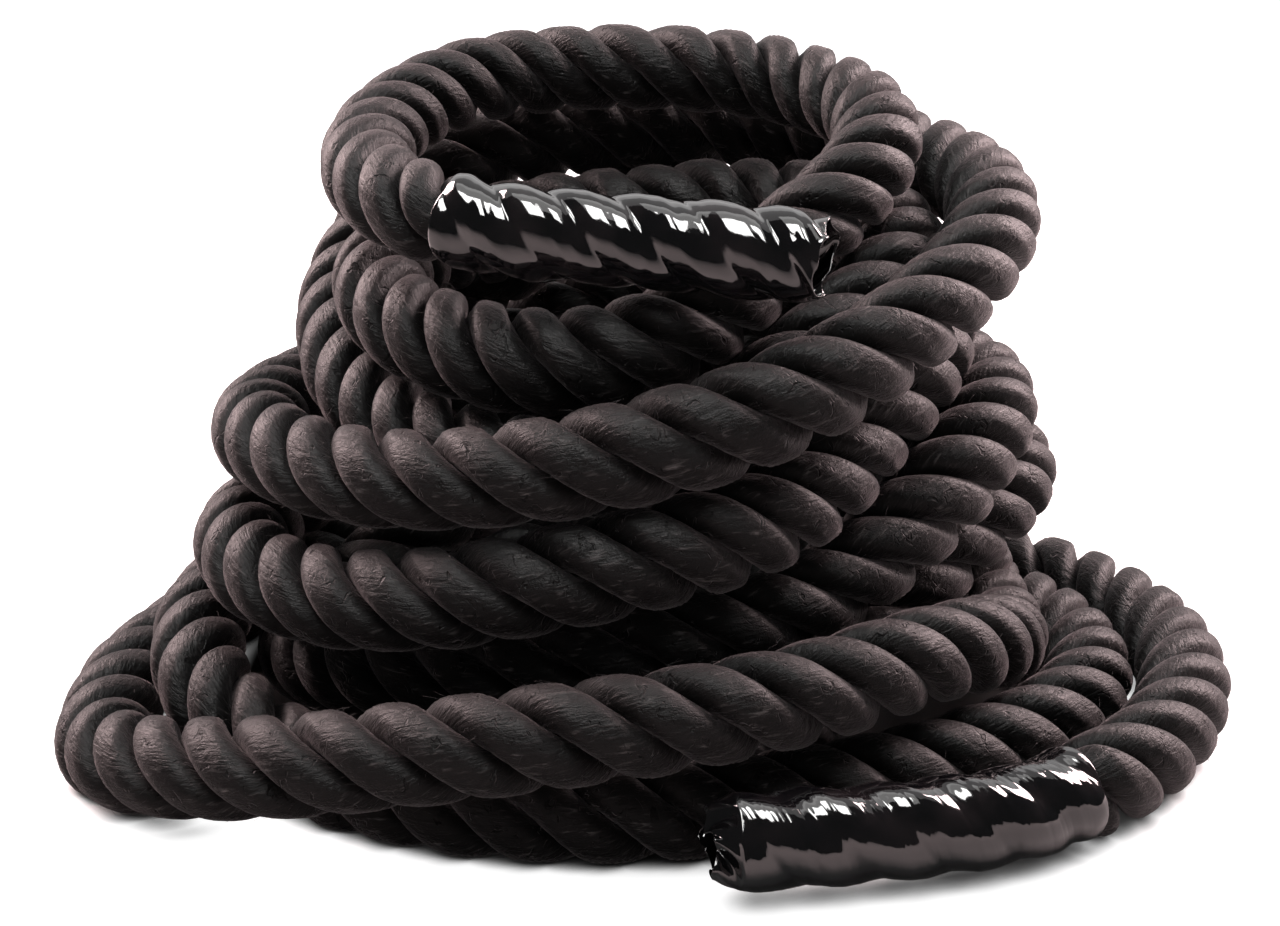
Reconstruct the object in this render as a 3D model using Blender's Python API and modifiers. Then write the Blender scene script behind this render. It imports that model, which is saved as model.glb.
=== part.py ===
# A heavy laid rope for training, piled in nine rising turns, with a shrunk grip sleeve on each end.
# Metres, +Z up. The origin lies on the ground under the middle of the pile, and the front is towards -Y.

import math

import bmesh
import bpy
import numpy as np
from mathutils import Vector

# Rope
rope_diameter = 0.038
lay_length = 0.080
strand_count = 3
rest_depth_share = 0.1
loop_clearance = 0.0006
touch_clearance = 0.0003

# Grip sleeves, shrunk over the strands so that each shows as a winding ridge
sleeve_length = 0.142
sleeve_wall = 0.0012
sleeve_ridge = 0.0025
sleeve_overhang = 0.010
sleeve_ring_step = 0.0034
sleeve_shoulder = 0.008
squeezed_share = 0.74
lip_shares = (0.78, 0.90, 0.98)
rim_shares = (1.02, 1.06)
profile_points_per_strand = 8

# Tape that holds the cut strands together under each sleeve
tape_width = 0.020
tape_thickness = 0.0006
tape_inset = 0.006
tape_steps = 24

# Route of the rope from the upper end to the lower one. Each row is one turn. A cell holds the reach
# from the pile's axis and the rise over the turns that lie on the ground, at every eighth of a turn:
# front, front left, left, back left, back, back right, right, front right.
stations_per_turn = 8
points_per_turn = 24
route_before = [(0.140, 0.171)]
route_turns = [
    [(0.099, 0.187), (0.116, 0.199), (0.111, 0.210), (0.104, 0.225),
     (0.090, 0.229), (0.099, 0.224), (0.100, 0.210), (0.080, 0.176)],
    [(0.104, 0.145), (0.112, 0.144), (0.113, 0.153), (0.088, 0.161),
     (0.064, 0.166), (0.092, 0.171), (0.112, 0.168), (0.117, 0.136)],
    [(0.110, 0.107), (0.116, 0.111), (0.131, 0.122), (0.123, 0.181),
     (0.122, 0.198), (0.139, 0.193), (0.143, 0.183), (0.127, 0.147)],
    [(0.145, 0.123), (0.160, 0.103), (0.148, 0.088), (0.132, 0.100),
     (0.129, 0.160), (0.132, 0.139), (0.132, 0.119), (0.121, 0.100)],
    [(0.153, 0.084), (0.178, 0.059), (0.152, 0.050), (0.132, 0.060),
     (0.138, 0.101), (0.137, 0.102), (0.147, 0.098), (0.131, 0.064)],
    [(0.144, 0.047), (0.159, 0.024), (0.140, 0.000), (0.118, 0.024),
     (0.142, 0.062), (0.145, 0.064), (0.161, 0.057), (0.140, 0.026)],
    [(0.152, 0.000), (0.114, 0.000), (0.110, 0.000), (0.095, 0.000),
     (0.158, 0.028), (0.142, 0.028), (0.144, 0.026), (0.171, 0.033)],
    [(0.202, 0.037), (0.220, 0.010), (0.175, 0.000), (0.148, 0.000),
     (0.140, 0.000), (0.109, 0.000), (0.163, 0.000), (0.180, 0.000)],
    [(0.200, 0.000), (0.199, 0.000), (0.165, 0.024), (0.178, 0.020),
     (0.178, 0.000), (0.146, 0.000), (0.184, 0.000), (0.240, 0.004)],
]
route_after = [(0.208, 0.004), (0.240, 0.004)]

# The two ends, as turns and parts of a turn from the front of the first row
start_turn_share = -0.095
end_turn_share = 8.985

# Four short stretches swing out further at the left: where and how wide in turns, and by how much
swing_turn_shares = (3.190, 4.190, 7.156, 8.169)
swing_width_shares = (0.050, 0.050, 0.045, 0.045)
swing_reaches = (0.009, 0.014, 0.022, 0.026)
swing_rises = (0.000, 0.000, 0.000, 0.010)

# Laying touching loops clear of each other, with no bend tighter than such a rope takes
least_bend_radius = 0.070
bend_easing_share = 0.5
clearing_rounds = 400
checks_per_step = 4
spread_rounds = 2
neighbour_share = 4.0

# Cutter under the ground
cutter_overrun = 0.020

rope_radius = rope_diameter / 2
rest_height = rope_radius - rope_diameter * rest_depth_share
squeezed_radius = rope_radius * squeezed_share
ring_twist = math.tau * sleeve_ring_step / lay_length
bore_radius = (squeezed_radius + touch_clearance) / math.cos(ring_twist / 2)
tape_outer_radius = squeezed_radius
tape_inner_radius = tape_outer_radius - tape_thickness
waist_radius = tape_inner_radius - 2 * touch_clearance
straight_length = sleeve_overhang + rope_diameter


def clear_scene():
    for obj in list(bpy.data.objects):
        bpy.data.objects.remove(obj, do_unlink=True)


def new_collection(name):
    collection = bpy.data.collections.new(name)
    bpy.context.scene.collection.children.link(collection)
    return collection


def material(name, colour, roughness):
    made = bpy.data.materials.new(name)
    made.use_nodes = True
    shader = made.node_tree.nodes["Principled BSDF"]
    shader.inputs["Base Color"].default_value = (*colour, 1.0)
    shader.inputs["Roughness"].default_value = roughness
    shader.inputs["Metallic"].default_value = 0.0
    return made


# Catmull-Rom curve through values that stand at whole numbers
def smoothed(values, where):
    values = np.asarray(values, float)
    where = np.asarray(where, float)
    at = np.clip(where.astype(int), 0, len(values) - 2)
    t = (where - at)[:, None]
    padded = np.vstack([2 * values[0] - values[1], values, 2 * values[-1] - values[-2]])
    before, start, end, after = padded[at], padded[at + 1], padded[at + 2], padded[at + 3]
    linear = end - before
    square = 2 * before - 5 * start + 4 * end - after
    cube = 3 * start - 3 * end + after - before
    return (2 * start + linear * t + square * t**2 + cube * t**3) / 2


# Points of the whole route, 24 to a turn, going round clockwise from above
def coil_points():
    table = route_before + [cell for row in route_turns for cell in row] + route_after
    count = round((end_turn_share - start_turn_share) * points_per_turn) + 1
    turns = np.linspace(start_turn_share, end_turn_share, count)
    reach, rise = smoothed(table, turns * stations_per_turn + len(route_before)).T
    swings = zip(swing_turn_shares, swing_width_shares, swing_reaches, swing_rises)
    for place, width, out, lift in swings:
        strength = np.exp(-(((turns - place) / width) ** 2))
        reach = reach + out * strength
        rise = rise + lift * strength
    angle = -math.pi / 2 - math.tau * turns
    return np.column_stack([reach * np.cos(angle), reach * np.sin(angle), rest_height + rise])


# The polyline's points with each step cut into equal parts
def cut_finer(points, parts):
    steps = np.arange((len(points) - 1) * parts + 1) / parts
    at = np.clip(steps.astype(int), 0, len(points) - 2)
    t = (steps - at)[:, None]
    return points[at] * (1 - t) + points[at + 1] * t


def lengths_along(points):
    return np.concatenate([[0], np.cumsum(np.linalg.norm(np.diff(points, axis=0), axis=1))])


# Distance from each point to each other one. Neighbours along the rope don't count.
def distances_apart(points, neighbour_length):
    along = lengths_along(points)
    apart = np.linalg.norm(points[:, None] - points[None], axis=2)
    apart[np.abs(along[:, None] - along[None]) < neighbour_length] = np.inf
    return apart


# Moves each point of a bend that is too tight towards the middle of its two neighbours
def bends_eased(points):
    step = np.linalg.norm(points[2:] - points[:-2], axis=1)[:, None] / 2
    sag = points[:-2] - 2 * points[1:-1] + points[2:]
    size = np.maximum(np.linalg.norm(sag, axis=1)[:, None], touch_clearance / 1000)
    excess = np.maximum(1 - step**2 / least_bend_radius / size, 0)
    points = points.copy()
    points[1:-1] += sag / 2 * excess * bend_easing_share
    return points


# Where two loops come nearer than they may lie, each moves away by half of what lacks, and the move
# fades out along the rope. Nothing sinks below the height at which the rope lies on the ground.
def laid_clear(points, least):
    tolerance = loop_clearance / 30
    for _ in range(clearing_rounds):
        points = bends_eased(points)
        fine = cut_finer(points, checks_per_step)
        apart = distances_apart(fine, neighbour_share * least)
        one, two = np.nonzero(apart < least - tolerance)
        if len(one) == 0:
            break
        line = fine[one] - fine[two]
        size = np.linalg.norm(line, axis=1)[:, None]
        move = np.zeros_like(fine)
        np.add.at(move, one, line / size * (least - size) / 2)
        met = np.bincount(one, minlength=len(fine))[:, None]
        points += shared_move(move / np.maximum(met, 1), len(points))
        points[:, 2] = np.maximum(points[:, 2], rest_height)
    return points


# For each point the largest move asked for near it, evened out along the rope
def shared_move(move, count):
    largest = np.zeros((count, 3))
    for offset in range(-checks_per_step, checks_per_step + 1):
        index = np.clip(np.arange(count) * checks_per_step + offset, 0, len(move) - 1)
        asked = move[index] * (1 - abs(offset) / (checks_per_step + 1))
        stronger = np.linalg.norm(asked, axis=1) > np.linalg.norm(largest, axis=1)
        largest[stronger] = asked[stronger]
    for _ in range(spread_rounds):
        padded = np.vstack([largest[:1], largest, largest[-1:]])
        largest = (padded[:-2] + 2 * largest + padded[2:]) / 4
    return largest


# The smooth line through the points, as fine points with their length along it, each end made straight
def smooth_line(points):
    steps = np.arange((len(points) - 1) * points_per_turn + 1) / points_per_turn
    fine = smoothed(points, steps)
    for _ in range(2):
        along = lengths_along(fine)
        knee = np.searchsorted(along, straight_length)
        direction = fine[knee + 1] - fine[knee]
        direction /= np.linalg.norm(direction)
        fine[:knee] = fine[knee] - direction * (along[knee] - along[:knee])[:, None]
        fine = fine[::-1]
    return fine


def places_at(line, distances):
    along = lengths_along(line)
    return np.column_stack([np.interp(distances, along, line[:, axis]) for axis in range(3)])


# Distances of the sleeve's rings from its cut edge
def sleeve_rings():
    return np.linspace(0, sleeve_length, round(sleeve_length / sleeve_ring_step) + 1)


# The rope at one end, from its cut face past the sleeve's inner edge: distance from the sleeve's cut edge
# and the rope's radius there. It is waisted under the tape and squeezed under the sleeve.
def end_stretch():
    rings = sleeve_rings()[::2]
    tape_end = sleeve_overhang + tape_inset + tape_width + 2 * touch_clearance
    waisted = rings[(rings > sleeve_overhang + rope_radius / 4) & (rings < tape_end - rope_radius / 4)]
    squeezed = rings[rings > tape_end + rope_radius / 4]
    distances = [sleeve_overhang, *waisted, tape_end, tape_end + touch_clearance * 2, *squeezed]
    radii = [waist_radius] * (len(waisted) + 2) + [squeezed_radius] * (len(squeezed) + 1)
    distances += [sleeve_length + 2 * touch_clearance, sleeve_length + sleeve_shoulder]
    radii += [squeezed_radius, rope_radius]
    return np.array(distances), np.array(radii)


# The rope's whole line of points with their radii
def rope_line(coil, line):
    total = lengths_along(line)[-1]
    distances, radii = end_stretch()
    along = lengths_along(line)[:: points_per_turn]
    free = sleeve_length + sleeve_shoulder + rope_radius
    middle = (along > free) & (along < total - free)
    head = places_at(line, distances)
    tail = places_at(line, total - distances)[::-1]
    points = np.vstack([head, coil[middle], tail])
    return points, np.concatenate([radii, np.full(middle.sum(), rope_radius), radii[::-1]])


def poly_curve(name, points, radii, tilts=None):
    curve = bpy.data.curves.new(name, "CURVE")
    curve.dimensions = "3D"
    curve.twist_mode = "MINIMUM" if tilts is not None else "Z_UP"
    spline = curve.splines.new("POLY")
    spline.points.add(len(points) - 1)
    spline.points.foreach_set("co", np.column_stack([points, np.ones(len(points))]).ravel())
    spline.points.foreach_set("radius", np.asarray(radii, float))
    if tilts is not None:
        spline.points.foreach_set("tilt", np.asarray(tilts, float))
    return curve


# A mesh object made from a curve, its caps welded on
def made_mesh(name, curve, collection, finish):
    guide = bpy.data.objects.new(name + "_guide", curve)
    bpy.context.scene.collection.objects.link(guide)
    graph = bpy.context.evaluated_depsgraph_get()
    mesh = bpy.data.meshes.new_from_object(guide.evaluated_get(graph))
    matrix = guide.matrix_world.copy()
    bpy.data.objects.remove(guide, do_unlink=True)
    shape = bmesh.new()
    shape.from_mesh(mesh)
    bmesh.ops.remove_doubles(shape, verts=shape.verts, dist=touch_clearance / 30)
    bmesh.ops.recalc_face_normals(shape, faces=shape.faces)
    shape.to_mesh(mesh)
    shape.free()
    mesh.name = name
    mesh.materials.clear()
    mesh.materials.append(finish)
    obj = bpy.data.objects.new(name, mesh)
    obj.matrix_world = matrix
    collection.objects.link(obj)
    return obj


def make_ground_cutter(collection, points):
    low = points.min(axis=0) - cutter_overrun - rope_radius
    high = points.max(axis=0) + cutter_overrun + rope_radius
    depth = rope_diameter + cutter_overrun
    bpy.ops.mesh.primitive_cube_add(size=1)
    cutter = bpy.context.active_object
    cutter.name = "ground_cutter"
    cutter.scale = (high[0] - low[0], high[1] - low[1], depth)
    cutter.location = ((low[0] + high[0]) / 2, (low[1] + high[1]) / 2, -depth / 2)
    for owner in list(cutter.users_collection):
        owner.objects.unlink(cutter)
    collection.objects.link(cutter)
    cutter.hide_render = True
    cutter.display_type = "WIRE"
    return cutter


# One unbroken tube, cut flat where it lies on the ground
def make_rope(points, radii, cutter, collection):
    curve = poly_curve("rope", points, radii / rope_radius)
    curve.bevel_depth = rope_radius
    curve.bevel_resolution = 1
    curve.use_fill_caps = True
    finish = material("black_rope", (0.020, 0.018, 0.018), 0.85)
    rope = made_mesh("rope", curve, collection, finish)
    rope.data.shade_smooth()
    flat = rope.modifiers.new("resting_flat", "BOOLEAN")
    flat.operation = "DIFFERENCE"
    flat.solver = "EXACT"
    flat.object = cutter
    return rope


# Closed outline with one rounded ridge for each strand
def make_sleeve_profile(collection):
    count = strand_count * profile_points_per_strand
    angle = np.linspace(0, math.tau, count, endpoint=False)
    reach = bore_radius + sleeve_ridge * (1 + np.cos(strand_count * angle)) / 2
    outline = np.column_stack([reach * np.cos(angle), reach * np.sin(angle), np.zeros(count)])
    curve = poly_curve("sleeve_profile", outline, np.ones(count))
    curve.splines[0].use_cyclic_u = True
    profile = bpy.data.objects.new("sleeve_profile", curve)
    collection.objects.link(profile)
    profile.hide_render = True
    profile.display_type = "WIRE"
    return profile


# The sleeve's bore is the ridged outline carried along the rope's end, turned with the lay. Its lip draws in
# past the rope's cut face, its inner rim flares, and the wall is put on outside.
def make_sleeve(name, line, profile, collection):
    rings = sleeve_rings()
    scale = np.ones(len(rings))
    scale[: len(lip_shares)] = lip_shares
    scale[-len(rim_shares):] = rim_shares
    tilts = math.tau * rings / lay_length
    curve = poly_curve(name, places_at(line, rings), scale, tilts)
    curve.bevel_mode = "OBJECT"
    curve.bevel_object = profile
    curve.use_fill_caps = False
    finish = material(name + "_film", (0.008, 0.008, 0.009), 0.22)
    sleeve = made_mesh(name, curve, collection, finish)
    sleeve.data.shade_smooth()
    wall = sleeve.modifiers.new("wall", "SOLIDIFY")
    wall.thickness = sleeve_wall
    wall.offset = 1
    return sleeve


# A band turned round the rope's axis, laid round the waist at the cut end
def make_tape(name, line, collection):
    half = tape_width / 2
    corners = [
        (tape_outer_radius, 0, half),
        (tape_outer_radius, 0, -half),
        (tape_inner_radius, 0, -half),
        (tape_inner_radius, 0, half),
    ]
    mesh = bpy.data.meshes.new(name)
    mesh.from_pydata(corners, [(0, 1), (1, 2), (2, 3), (3, 0)], [])
    mesh.materials.append(material(name + "_cloth", (0.045, 0.043, 0.042), 0.60))
    tape = bpy.data.objects.new(name, mesh)
    collection.objects.link(tape)
    turned = tape.modifiers.new("turned", "SCREW")
    turned.steps = tape_steps
    turned.render_steps = tape_steps
    turned.use_merge_vertices = True
    turned.merge_threshold = 0.00001
    middle = sleeve_overhang + tape_inset + half
    centre, beyond = places_at(line, np.array([middle, middle + half]))
    tape.location = centre
    tape.rotation_mode = "QUATERNION"
    tape.rotation_quaternion = Vector(beyond - centre).to_track_quat("Z", "Y")
    return tape


def main():
    clear_scene()
    parts = new_collection("battle_rope")
    cutters = new_collection("cutters")

    coil = laid_clear(coil_points(), rope_diameter + loop_clearance)
    middle = (coil.min(axis=0) + coil.max(axis=0)) / 2
    coil[:, :2] -= middle[:2]
    line = smooth_line(coil)
    points, radii = rope_line(coil, line)

    fine = cut_finer(points, checks_per_step)
    gap = distances_apart(fine, neighbour_share * rope_diameter).min() - rope_diameter
    print("rope length", round(lengths_along(points)[-1], 3), "m in", len(points), "points")
    print("least gap of the rope to itself", round(gap * 1000, 2), "mm")

    profile = make_sleeve_profile(cutters)
    cutter = make_ground_cutter(cutters, points)
    make_rope(points, radii, cutter, parts)
    for name, end_line in (("top", line), ("floor", line[::-1])):
        make_sleeve("grip_sleeve_" + name, end_line, profile, parts)
        make_tape("end_tape_" + name, end_line, parts)


main()
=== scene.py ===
# A battle rope: heavy black laid rope piled in rising turns, with a shrunk grip sleeve on each end.
# Metres, +Z up, the front towards -Y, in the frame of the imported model.

import math

import bpy
import numpy as np
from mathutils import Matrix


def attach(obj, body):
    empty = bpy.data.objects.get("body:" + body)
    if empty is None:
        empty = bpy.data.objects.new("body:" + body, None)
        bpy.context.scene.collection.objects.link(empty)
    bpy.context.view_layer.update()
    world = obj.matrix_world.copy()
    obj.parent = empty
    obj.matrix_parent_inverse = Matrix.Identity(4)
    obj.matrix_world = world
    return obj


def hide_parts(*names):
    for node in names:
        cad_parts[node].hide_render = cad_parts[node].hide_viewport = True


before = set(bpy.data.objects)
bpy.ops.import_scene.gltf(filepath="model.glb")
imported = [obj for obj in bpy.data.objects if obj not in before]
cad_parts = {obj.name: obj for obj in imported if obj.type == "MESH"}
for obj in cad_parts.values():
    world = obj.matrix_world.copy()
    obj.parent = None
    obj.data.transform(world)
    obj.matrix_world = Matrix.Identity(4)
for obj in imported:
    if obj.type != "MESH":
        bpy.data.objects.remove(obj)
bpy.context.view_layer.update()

scene = bpy.context.scene
scene.view_settings.view_transform = "Standard"

# The rope's route, as the CAD source has it.

ropeSettings = {
    "diameter": 0.038,
    "layLength": 0.080,          # one full turn of a strand round the rope
    "restDepth": 0.0038,         # how far the lowest turns are pressed flat
    "startTurn": -0.095,
    "endTurn": 8.985,
    "stationsPerTurn": 8,
    "pointsPerTurn": 24,
    "straightEnd": 0.048,
    "leastBend": 0.070,          # radius
    "bendEasing": 0.5,           # how much a tight bend gives way in one round
    "loopClearance": 0.0006,
    "toleranceParts": 30,        # a loop may lack this part of the clearance
    "touchClearance": 0.0003,
    "clearingRounds": 400,
    "checksPerStep": 4,          # from point to point
    "neighbourShare": 4.0,       # places nearer along the rope, in diameters, aren't two loops
    "renewRounds": 8,            # rounds before the list of near pairs is made again
    "nearMargin": 0.012,
    "spreadRounds": 2,
}
# reach from the pile's axis and rise, at each eighth of a turn: front, front left, left, back left,
# back, back right, right, front right
routeTable = [
    (0.140, 0.171),
    (0.099, 0.187), (0.116, 0.199), (0.111, 0.210), (0.104, 0.225),
    (0.090, 0.229), (0.099, 0.224), (0.100, 0.210), (0.080, 0.176),
    (0.104, 0.145), (0.112, 0.144), (0.113, 0.153), (0.088, 0.161),
    (0.064, 0.166), (0.092, 0.171), (0.112, 0.168), (0.117, 0.136),
    (0.110, 0.107), (0.116, 0.111), (0.131, 0.122), (0.123, 0.181),
    (0.122, 0.198), (0.139, 0.193), (0.143, 0.183), (0.127, 0.147),
    (0.145, 0.123), (0.160, 0.103), (0.148, 0.088), (0.132, 0.100),
    (0.129, 0.160), (0.132, 0.139), (0.132, 0.119), (0.121, 0.100),
    (0.153, 0.084), (0.178, 0.059), (0.152, 0.050), (0.132, 0.060),
    (0.138, 0.101), (0.137, 0.102), (0.147, 0.098), (0.131, 0.064),
    (0.144, 0.047), (0.159, 0.024), (0.140, 0.000), (0.118, 0.024),
    (0.142, 0.062), (0.145, 0.064), (0.161, 0.057), (0.140, 0.026),
    (0.152, 0.000), (0.114, 0.000), (0.110, 0.000), (0.095, 0.000),
    (0.158, 0.028), (0.142, 0.028), (0.144, 0.026), (0.171, 0.033),
    (0.202, 0.037), (0.220, 0.010), (0.175, 0.000), (0.148, 0.000),
    (0.140, 0.000), (0.109, 0.000), (0.163, 0.000), (0.180, 0.000),
    (0.200, 0.000), (0.199, 0.000), (0.165, 0.024), (0.178, 0.020),
    (0.178, 0.000), (0.146, 0.000), (0.184, 0.000), (0.240, 0.004),
    (0.208, 0.004), (0.240, 0.004),
]
# short stretches that swing out round their neighbours: turn, width in turns, reach and rise
routeSwings = [
    (3.190, 0.050, 0.009, 0.000), (4.190, 0.050, 0.014, 0.000),
    (7.156, 0.045, 0.022, 0.000), (8.169, 0.045, 0.026, 0.010),
]

ropeRadius = ropeSettings["diameter"] / 2
restHeight = ropeRadius - ropeSettings["restDepth"]


def smoothed(values, where):
    # Catmull-Rom curve through values at whole numbers: a cubic in t on each stretch, which passes each value
    # in the direction of the line between its two neighbours
    values = np.asarray(values, float)
    at = np.clip(np.asarray(where).astype(int), 0, len(values) - 2)
    t = (where - at)[:, None]
    padded = np.vstack([2 * values[0] - values[1], values, 2 * values[-1] - values[-2]])
    before, start, end, after = padded[at], padded[at + 1], padded[at + 2], padded[at + 3]
    square = 2 * before - 5 * start + 4 * end - after
    cube = 3 * start - 3 * end + after - before
    return (2 * start + (end - before) * t + square * t**2 + cube * t**3) / 2


def coilPoints(settings):
    # reach and rise go round clockwise as seen from above, and each swing adds a bell curve to both
    count = round((settings["endTurn"] - settings["startTurn"]) * settings["pointsPerTurn"]) + 1
    turns = np.linspace(settings["startTurn"], settings["endTurn"], count)
    reach, rise = smoothed(routeTable, turns * settings["stationsPerTurn"] + 1).T
    for place, width, out, lift in routeSwings:
        strength = np.exp(-(((turns - place) / width) ** 2))
        reach = reach + out * strength
        rise = rise + lift * strength
    angle = -math.pi / 2 - math.tau * turns
    return np.column_stack([reach * np.cos(angle), reach * np.sin(angle), restHeight + rise])


def cutFiner(points, parts):
    # each straight stretch in so many parts: point times (1 - t) plus the next one times t
    steps = np.arange((len(points) - 1) * parts + 1) / parts
    at = np.clip(steps.astype(int), 0, len(points) - 2)
    t = (steps - at)[:, None]
    return points[at] * (1 - t) + points[at + 1] * t


def lengthsAlong(points):
    # the running sum of the distances between the points
    return np.concatenate([[0], np.cumsum(np.linalg.norm(np.diff(points, axis=0), axis=1))])


def bendsEased(points, settings):
    # a bend tighter than the least one gives way towards the middle of its two neighbours
    step = np.linalg.norm(points[2:] - points[:-2], axis=1)[:, None] / 2
    sag = points[:-2] - 2 * points[1:-1] + points[2:]
    size = np.maximum(np.linalg.norm(sag, axis=1)[:, None], settings["touchClearance"] / 1000)
    excess = np.maximum(1 - step**2 / settings["leastBend"] / size, 0)
    points = points.copy()
    points[1:-1] += sag / 2 * excess * settings["bendEasing"]
    return points


def sharedMove(move, count, settings):
    # for each point the largest move asked for near it, evened out along the rope
    checks = settings["checksPerStep"]
    largest = np.zeros((count, 3))
    for offset in range(-checks, checks + 1):
        index = np.clip(np.arange(count) * checks + offset, 0, len(move) - 1)
        asked = move[index] * (1 - abs(offset) / (checks + 1))
        stronger = np.linalg.norm(asked, axis=1) > np.linalg.norm(largest, axis=1)
        largest[stronger] = asked[stronger]
    for _ in range(settings["spreadRounds"]):
        padded = np.vstack([largest[:1], largest, largest[-1:]])
        largest = (padded[:-2] + 2 * largest + padded[2:]) / 4
    return largest


def laidClear(points, settings):
    # where two loops come nearer than they may lie, each moves away by half of what lacks
    least = settings["diameter"] + settings["loopClearance"]
    tolerance = settings["loopClearance"] / settings["toleranceParts"]
    for turn in range(settings["clearingRounds"]):
        points = bendsEased(points, settings)
        fine = cutFiner(points, settings["checksPerStep"])
        along = lengthsAlong(fine)
        if turn % settings["renewRounds"] == 0:
            apart = np.linalg.norm(fine[:, None] - fine[None], axis=2)
            nearOne, nearTwo = np.nonzero(apart < least + settings["nearMargin"])
        line = fine[nearOne] - fine[nearTwo]
        size = np.linalg.norm(line, axis=1)
        far = np.abs(along[nearOne] - along[nearTwo]) >= settings["neighbourShare"] * least
        met = (size < least - tolerance) & far
        if not met.any():
            break
        one, line, size = nearOne[met], line[met], size[met][:, None]
        move = np.zeros_like(fine)
        np.add.at(move, one, line / size * (least - size) / 2)
        times = np.bincount(one, minlength=len(fine))[:, None]
        points += sharedMove(move / np.maximum(times, 1), len(points), settings)
        points[:, 2] = np.maximum(points[:, 2], restHeight)
    return points


def smoothLine(points, settings):
    # fine points on the smooth curve; its first stretch is made straight, and then, turned round, its last
    parts = settings["pointsPerTurn"]
    fine = smoothed(points, np.arange((len(points) - 1) * parts + 1) / parts)
    for _ in range(2):
        along = lengthsAlong(fine)
        knee = np.searchsorted(along, settings["straightEnd"])
        direction = fine[knee + 1] - fine[knee]
        direction /= np.linalg.norm(direction)
        fine[:knee] = fine[knee] - direction * (along[knee] - along[:knee])[:, None]
        fine = fine[::-1]
    return fine


coil = laidClear(coilPoints(ropeSettings), ropeSettings)
pileMiddle = (coil.min(axis=0) + coil.max(axis=0)) / 2
coil[:, :2] -= pileMiddle[:2]
ropeLine = smoothLine(coil, ropeSettings)
lineLengths = lengthsAlong(ropeLine)
lineTotal = lineLengths[-1]
coilLengths = lengthsAlong(coil)
coilTurns = np.linspace(ropeSettings["startTurn"], ropeSettings["endTurn"], len(coil))
print("route laid:", round(lineTotal, 3), "m, pile's axis at", np.round(-pileMiddle[:2], 4))

# The camera.

cameraSettings = {"elevation": 18.0, "distance": 1.0, "aimHeight": 0.0869, "focal": 2315, "width": 1280}


def makeCamera(settings):
    # stands at its distance from the aim on the pile's axis, raised by its elevation and tilted down by it
    data = bpy.data.cameras.new("camera")
    data.sensor_width = 36
    data.lens = settings["focal"] / settings["width"] * data.sensor_width
    camera = bpy.data.objects.new("camera", data)
    scene.collection.objects.link(camera)
    tilt = math.radians(settings["elevation"])
    back = settings["distance"] * math.cos(tilt)
    rise = settings["distance"] * math.sin(tilt)
    camera.location = (-pileMiddle[0], -pileMiddle[1] - back, settings["aimHeight"] + rise)
    camera.rotation_euler = (math.pi / 2 - tilt, 0, 0)
    scene.camera = camera


makeCamera(cameraSettings)
print("camera placed")

# Helpers for the surfaces.

chordReach = 0.003            # the line's direction is that of the chord this far to either side


def lineAt(distances):
    # the rope's middle line at lengths along it, straight between its fine points
    return np.column_stack([np.interp(distances, lineLengths, ropeLine[:, axis]) for axis in range(3)])


def linePlaces(distances):
    # points and directions of the middle line, and across it: sideways is the world's up crossed with along,
    # and up is along crossed with sideways
    along = lineAt(distances + chordReach) - lineAt(distances - chordReach)
    along /= np.linalg.norm(along, axis=1)[:, None]
    side = np.cross((0.0, 0.0, 1.0), along)
    side /= np.linalg.norm(side, axis=1)[:, None]
    return lineAt(distances), along, side, np.cross(along, side)


def easedNoise(x, y, seed, size=64):
    # smooth noise from -1 to 1: random values on a grid that repeats, eased between its corners by 3t2 - 2t3
    table = np.random.default_rng(seed).uniform(-1, 1, (size, size))
    xi, yi = np.floor(x).astype(int), np.floor(y).astype(int)
    xf, yf = x - xi, y - yi
    xf, yf = xf * xf * (3 - 2 * xf), yf * yf * (3 - 2 * yf)
    x0, x1, y0, y1 = xi % size, (xi + 1) % size, yi % size, (yi + 1) % size
    low = table[x0, y0] * (1 - xf) + table[x1, y0] * xf
    high = table[x0, y1] * (1 - xf) + table[x1, y1] * xf
    return low * (1 - yf) + high * yf


def noiseAlong(distance, length, row, seed):
    # the same noise along the rope alone, read in the middle of one row of its grid
    return easedNoise(distance / length, np.full_like(distance, row + 0.5), seed)


def onFloor(points, soft):
    # what would sink under the ground is pressed flat on it: below soft, z = soft times e^((z - soft) / soft)
    z = points[..., 2]
    points[..., 2] = np.where(z < soft, soft * np.exp(np.minimum(z - soft, 0) / soft), z)
    return points


def fillMesh(name, points, corners, sizes, uv=None, values=None):
    # corners lists every face's points one after another, and sizes how many each face has
    mesh = bpy.data.meshes.new(name)
    mesh.vertices.add(len(points))
    mesh.vertices.foreach_set("co", np.asarray(points, np.float32).ravel())
    mesh.loops.add(len(corners))
    mesh.loops.foreach_set("vertex_index", np.asarray(corners, np.int32))
    mesh.polygons.add(len(sizes))
    starts = np.concatenate([[0], np.cumsum(sizes)[:-1]])
    mesh.polygons.foreach_set("loop_start", starts.astype(np.int32))
    mesh.update(calc_edges=True)
    if uv is not None:
        mesh.uv_layers.new(name="lay").data.foreach_set("uv", np.asarray(uv, np.float32).ravel())
    for key, numbers in (values or {}).items():
        layer = mesh.attributes.new(key, "FLOAT", "POINT")
        layer.data.foreach_set("value", np.asarray(numbers, np.float32).ravel())
    mesh.shade_smooth()
    mesh.validate()
    obj = bpy.data.objects.new(name, mesh)
    scene.collection.objects.link(obj)
    return obj


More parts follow.
